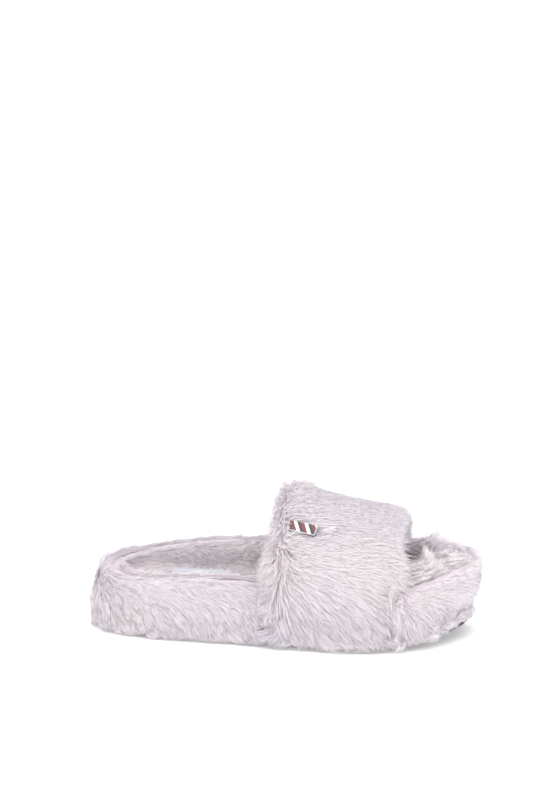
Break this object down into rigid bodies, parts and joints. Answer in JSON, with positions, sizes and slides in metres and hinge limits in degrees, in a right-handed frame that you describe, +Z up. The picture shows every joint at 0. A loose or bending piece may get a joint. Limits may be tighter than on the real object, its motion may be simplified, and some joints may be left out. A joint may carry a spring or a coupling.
{
  "type": "fluffy house slipper",
  "caption": "Open-toe, open-back slide slipper for a right foot, with a thick layered sole, a padded instep strap and long faux fur all over.",
  "frame": {"origin": "centre of the slipper's bounding box, on the floor that the outsole stands on", "axes": "+X from heel to toe, +Y to the inner side of the foot, +Z up"},
  "size_m": [0.2672, 0.1108, 0.1032],
  "materials": {
    "fur": "long silky faux fur pile, white with cream and lilac tints",
    "fur_footbed": "the same faux fur, trodden flat",
    "lining": "knitted tricot",
    "webbing": "woven cotton tape",
    "interlining": "nonwoven",
    "padding": "open-cell polyurethane foam",
    "foam": "moulded polyurethane foam",
    "midsole": "moulded EVA",
    "board": "pressed fibreboard",
    "outsole": "moulded rubber with chevron grooves",
    "thread": "spun polyester thread",
    "badge_metal": "satin, nickel plated",
    "enamel_dark": "soft enamel",
    "enamel_red": "soft enamel",
    "enamel_cream": "soft enamel",
    "label": "woven satin ribbon"
  },
  "bodies": {
    "root": {"outsole": "outsole", "midsole": "midsole", "insole_board": "board", "footbed_foam": "foam", "footbed_fur": "fur_footbed", "edge_seam": "thread", "heel_wrap_fur": "fur", "toe_wrap_fur": "fur", "strap_fur": "fur", "strap_interlining": "interlining", "strap_padding": "padding", "strap_lining": "lining", "strap_rear_tape": "webbing", "strap_front_tape": "webbing", "strap_rear_stitches": "thread", "strap_front_stitches": "thread", "badge_plate": "badge_metal", "badge_enamel_dark": "enamel_dark", "badge_enamel_red": "enamel_red", "badge_enamel_cream": "enamel_cream", "badge_washers": "badge_metal", "insole_label": "label", "insole_label_stitches": "thread"}
  },
  "joints": []
}
